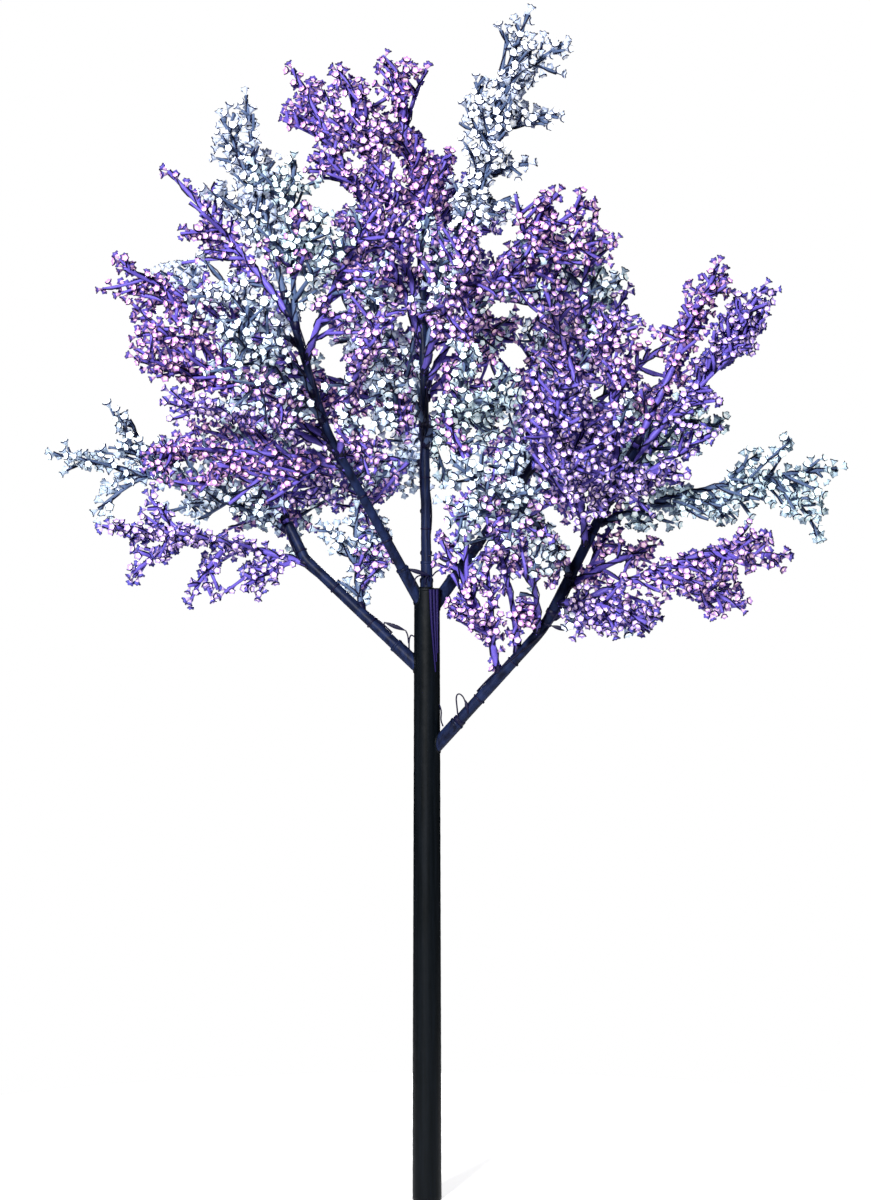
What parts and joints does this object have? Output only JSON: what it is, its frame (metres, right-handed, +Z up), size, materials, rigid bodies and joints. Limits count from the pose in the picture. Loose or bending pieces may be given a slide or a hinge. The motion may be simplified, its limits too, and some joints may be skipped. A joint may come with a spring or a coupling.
{
  "type": "artificial flowering cherry tree",
  "caption": "Artificial flowering cherry tree: a straight painted post with bent pipe boughs in welded sockets, carrying open sprays of violet and white blossom lamps.",
  "frame": {"origin": "centre of the flat cut under the post, at ground level", "axes": "+Z up along the post, -Y towards the side that the picture shows, +X to its right"},
  "size_m": [2.363, 1.8194, 3.4953],
  "materials": {
    "post_paint": "gloss",
    "bough_paint": "gloss",
    "violet_spray": "satin",
    "white_spray": "satin"
  },
  "bodies": {
    "root": {"post": "post_paint", "back_bough": "bough_paint", "crown_pole": "bough_paint", "lower_left_bough": "bough_paint", "lower_right_bough": "bough_paint", "rear_right_bough": "bough_paint", "upper_left_bough": "bough_paint", "violet_front_high": "violet_spray", "violet_front_left": "violet_spray", "violet_front_right": "violet_spray", "violet_inner_left": "violet_spray", "violet_inner_low": "violet_spray", "violet_inner_mid": "violet_spray", "violet_inner_right": "violet_spray", "violet_left_high": "violet_spray", "violet_left_low": "violet_spray", "violet_left_mid": "violet_spray", "violet_left_outer": "violet_spray", "violet_left_rear": "violet_spray", "violet_left_rise": "violet_spray", "violet_left_spear": "violet_spray", "violet_low_front": "violet_spray", "violet_lower_left": "violet_spray", "violet_lower_right": "violet_spray", "violet_mid_right": "violet_spray", "violet_rear_high": "violet_spray", "violet_rear_left": "violet_spray", "violet_rear_right": "violet_spray", "violet_rear_spire": "violet_spray", "violet_right_arm": "violet_spray", "violet_right_crest": "violet_spray", "violet_right_crown": "violet_spray", "violet_right_fork": "violet_spray", "violet_right_high": "violet_spray", "violet_right_inner": "violet_spray", "violet_right_low": "violet_spray", "violet_right_rear": "violet_spray", "violet_right_spire": "violet_spray", "violet_right_tower": "violet_spray", "violet_top": "violet_spray", "violet_top_left": "violet_spray", "violet_top_mid": "violet_spray", "white_far_left": "white_spray", "white_far_right": "white_spray", "white_front_centre": "white_spray", "white_front_inner": "white_spray", "white_front_left": "white_spray", "white_front_right": "white_spray", "white_inner_left": "white_spray", "white_left_crest": "white_spray", "white_left_high": "white_spray", "white_left_spire": "white_spray", "white_left_upright": "white_spray", "white_rear_high": "white_spray", "white_rear_left": "white_spray", "white_rear_low": "white_spray", "white_rear_right": "white_spray", "white_right_high": "white_spray", "white_right_small": "white_spray", "white_top_right": "white_spray"}
  },
  "joints": []
}
